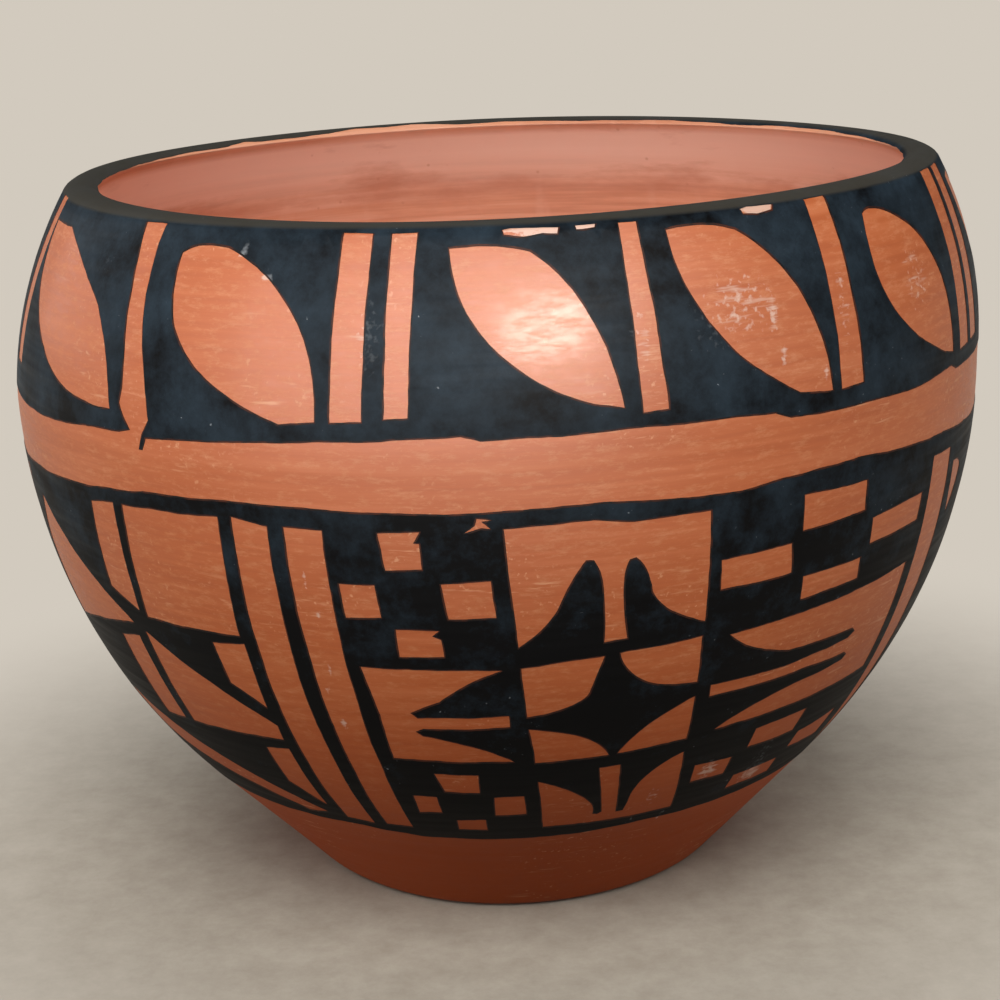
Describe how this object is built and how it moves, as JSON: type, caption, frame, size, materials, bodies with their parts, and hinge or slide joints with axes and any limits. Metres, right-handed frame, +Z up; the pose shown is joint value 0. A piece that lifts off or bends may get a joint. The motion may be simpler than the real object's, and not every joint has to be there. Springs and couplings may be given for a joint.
{
  "type": "pottery jar",
  "caption": "Coil-built pueblo pottery jar with a round belly, wide mouth and small flat base, in polished red clay with black painted leaves, bars, checks and stars.",
  "frame": {"origin": "centre of the flat underside, on the surface that the jar stands on", "axes": "+Z up along the jar's axis, -Y towards the pictured side"},
  "size_m": [0.1904, 0.1904, 0.1403],
  "materials": {
    "slipped_clay": "orange-red slip, burnished with a stone and low fired, satin",
    "black_paint": "blue-black brushed paint, fired on and polished, satin"
  },
  "bodies": {
    "root": {"base_pad": "slipped_clay", "wall_coil_1": "slipped_clay", "wall_coil_2": "slipped_clay", "wall_coil_3": "slipped_clay", "wall_coil_4": "slipped_clay", "wall_coil_5": "slipped_clay", "rim_coil": "slipped_clay", "rim_paint": "black_paint", "shoulder_paint": "black_paint", "band_paint": "black_paint"}
  },
  "joints": []
}
